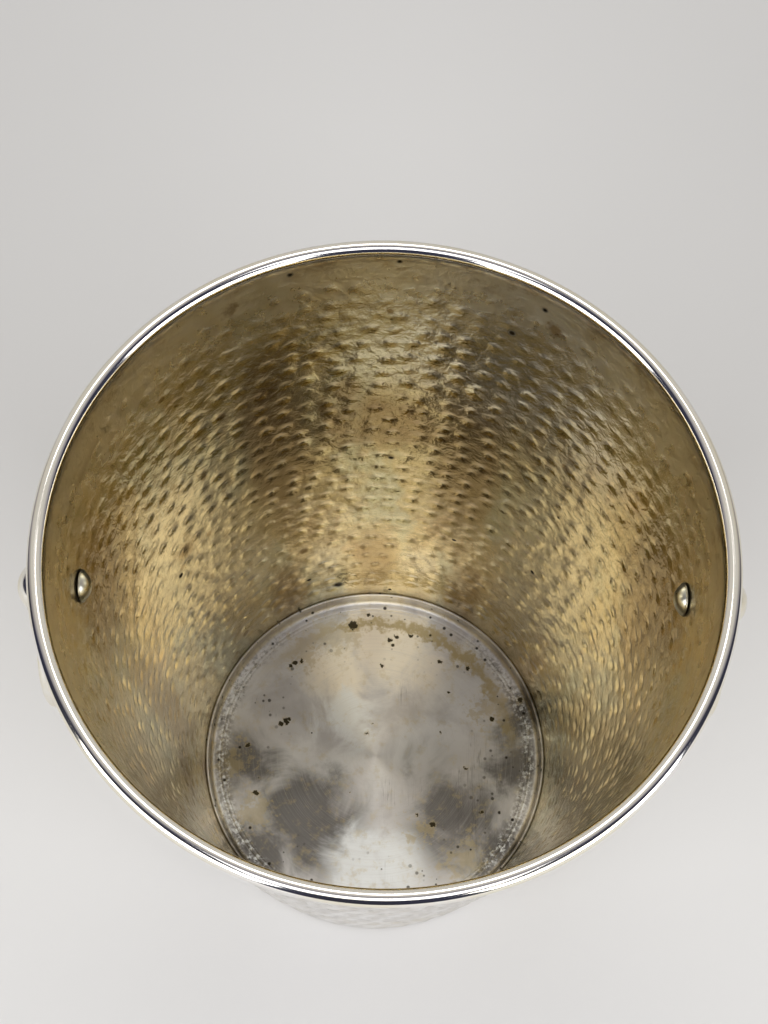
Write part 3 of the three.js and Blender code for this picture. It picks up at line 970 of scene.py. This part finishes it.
# Rivet heads inside: dull plate, greenish low down, dark where they meet the wall.
def dullRivets():
    material, tree = newMaterial("dull_rivets")
    look = rivetFinish
    at = places(tree)
    mottle = grain(tree, at["point"], 420.0, 4.0, 0.6)
    level = timesPlus(tree, mottle, 0.006, at["z"])
    low = fadeOut(tree, level, handle["height"] - 0.001, handle["height"] + 0.005)
    colour = wash(tree, look["silver"], look["green"], low, 0.8)
    grime = 0
    for side in (-1, 1):
        seat = Vector(onWall(np.array([0, 0, -body["sheet"] - handle["rivetHeight"]]), side))
        apart = distance(tree, at, seat)
        away = fade(tree, timesPlus(tree, mottle, 0.0008, apart), *look["seam"])
        near = calc(tree, "LESS_THAN", apart, look["headReach"])
        grime = larger(tree, grime, times(tree, away, near))
    specks = spots(tree, at["point"], 600.0, 0.12, 0.25)
    dark = larger(tree, grime, times(tree, specks, 0.6))
    colour = wash(tree, colour, look["grime"], dark, 0.6)
    rough = timesPlus(tree, mottle, 0.2, look["rough"] - 0.1)
    metal(tree, colour, rough, ((mottle, 0.3, 0.0002), (specks, -0.3, 0.0002)))
    return material


finish = {
    "inside": tarnishedInside(),
    "outside": brightOutside(),
    "floor": turnedFloor(),
    "rim": polishedRim(),
    "fittings": polishedFittings(),
    "rivets": dullRivets(),
}
print("materials made:", len(finish))


# Gives a finished piece its material, hides the CAD node it stands for and attaches it to its body.
def place(piece, material, bodyName, node):
    piece.data.materials.append(material)
    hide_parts(node)
    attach(piece, bodyName)


place(wallSkin("wall_outside", 1), finish["outside"], "bucket", "bucket_wall")
place(wallSkin("wall_inside", -1), finish["inside"], "bucket", "bucket_wall")
place(rimBead(), finish["rim"], "bucket", "rim_moulding")
place(floorDish(), finish["floor"], "bucket", "floor_pan")
print("bucket made")

for word, side in (("left", -1), ("right", 1)):
    place(plate(word, side), finish["fittings"], "bucket", word + "_escutcheon")
    place(ball(word, side), finish["fittings"], "bucket", word + "_ball_mount")
    place(rivet(word, side), finish["rivets"], "bucket", word + "_rivet")
    place(ring(word, side), finish["fittings"], word + "_handle", word + "_ring")
print("handles made")


studio = {
    "tableColour": (0.77, 0.765, 0.76),
    "tableMottle": (0.72, 0.715, 0.71),
    "tableHalf": 2.5,
    "farWall": (0.60, 0.57, 0.50),
    "ceiling": (0.315, 0.298, 0.312),
    "shade": (0.030, 0.032, 0.055),  # the near side of the room
    # name, direction and rise in degrees, width and height, power
    "lights": (
        ("window_right", -43, 20, (1.7, 1.2), 26),
        ("window_left", -137, 20, (1.7, 1.2), 26),
        ("lamp", -90, 62, (1.5, 1.0), 9.0),
        ("ceiling_glow", 90, 58, (1.0, 0.6), 4.8),
    ),
    "lightDistance": 2.0,
}


# A flat pale table.
def table():
    half = studio["tableHalf"]
    mesh = bpy.data.meshes.new("table_top")
    corners = [(-half, -half, 0), (half, -half, 0), (half, half, 0), (-half, half, 0)]
    mesh.from_pydata(corners, [], [(0, 1, 2, 3)])
    top = bpy.data.objects.new("table_top", mesh)
    bpy.context.scene.collection.objects.link(top)
    material, tree = newMaterial("pale_table")
    at = add(tree, "ShaderNodeTexCoord").outputs["Object"]
    tone = grain(tree, at, 14.0, 3.0, 0.5)
    colour = wash(tree, studio["tableColour"], studio["tableMottle"], tone, 0.25)
    shader = add(tree, "ShaderNodeBsdfPrincipled", {"Base Color": colour, "Roughness": 0.8})
    output = add(tree, "ShaderNodeOutputMaterial")
    tree.links.new(shader.outputs[0], output.inputs[0])
    mesh.materials.append(material)


# A soft box: an area light aimed at the bucket's mouth from a direction and rise in degrees.
def softBox(name, direction, rise, size, power):
    light = bpy.data.lights.new(name, "AREA")
    light.shape = "RECTANGLE"
    light.size, light.size_y = size
    light.energy = power
    lamp = bpy.data.objects.new(name, light)
    bpy.context.scene.collection.objects.link(lamp)
    across, up = math.radians(direction), math.radians(rise)
    away = Vector((math.cos(across) * math.cos(up), math.sin(across) * math.cos(up), math.sin(up)))
    aim = Vector((0, 0, rimHigh.z))
    lamp.location = aim + away * studio["lightDistance"]
    lamp.rotation_mode = "QUATERNION"
    lamp.rotation_quaternion = away.to_track_quat("Z", "Y")


# Room light: pale beyond the bucket, mauve grey overhead, dark low down on the near side. The tone follows
# toward = 0.45 up + 0.9 y, from the shade to the ceiling and on to the far wall.
def room():
    world = bpy.data.worlds.new("room")
    bpy.context.scene.world = world
    world.use_nodes = True
    tree = world.node_tree
    tree.nodes.clear()
    direction = add(tree, "ShaderNodeTexCoord").outputs["Generated"]
    split = add(tree, "ShaderNodeSeparateXYZ", {0: direction}).outputs
    toward = timesPlus(tree, split[1], 0.9, times(tree, split[2], 0.45))
    colour = blendColour(tree, fade(tree, toward, 0.26, 0.43), studio["shade"], studio["ceiling"])
    colour = blendColour(tree, fade(tree, toward, 0.43, 0.64), colour, studio["farWall"])
    seen = add(tree, "ShaderNodeLightPath").outputs["Is Camera Ray"]
    colour = blendColour(tree, seen, colour, studio["farWall"])
    background = add(tree, "ShaderNodeBackground", {"Color": colour, "Strength": 1.0})
    output = add(tree, "ShaderNodeOutputWorld")
    tree.links.new(background.outputs[0], output.inputs[0])


view = {
    "place": (-0.0048, -0.1590, 0.6222),
    "down": 66.55,  # degrees below the horizon
    "right": 1.42,  # degrees away from +Y
    "tilt": -2.6,  # clockwise lean
    "lens": 54.07,
}


# The camera stands at its place, looks down and a little to the right of +Y, and leans by its tilt.
def camera():
    data = bpy.data.cameras.new("camera")
    data.lens = view["lens"]
    data.sensor_width = 36
    data.clip_start = 0.01
    eye = bpy.data.objects.new("camera", data)
    bpy.context.scene.collection.objects.link(eye)
    down, right, tilt = (math.radians(view[key]) for key in ("down", "right", "tilt"))
    forward = Vector((math.sin(right) * math.cos(down), math.cos(right) * math.cos(down), -math.sin(down)))
    level = forward.cross(Vector((0, 0, 1))).normalized()
    under = forward.cross(level)
    sideways = level * math.cos(tilt) + under * math.sin(tilt)
    lower = under * math.cos(tilt) - level * math.sin(tilt)
    turnTo = Matrix((sideways, -lower, -forward)).transposed()
    eye.matrix_world = Matrix.Translation(view["place"]) @ turnTo.to_4x4()
    bpy.context.scene.camera = eye


table()
room()
for name, direction, rise, size, power in studio["lights"]:
    softBox(name, direction, rise, size, power)
camera()
bpy.context.scene.view_settings.view_transform = "Standard"
print("studio made")
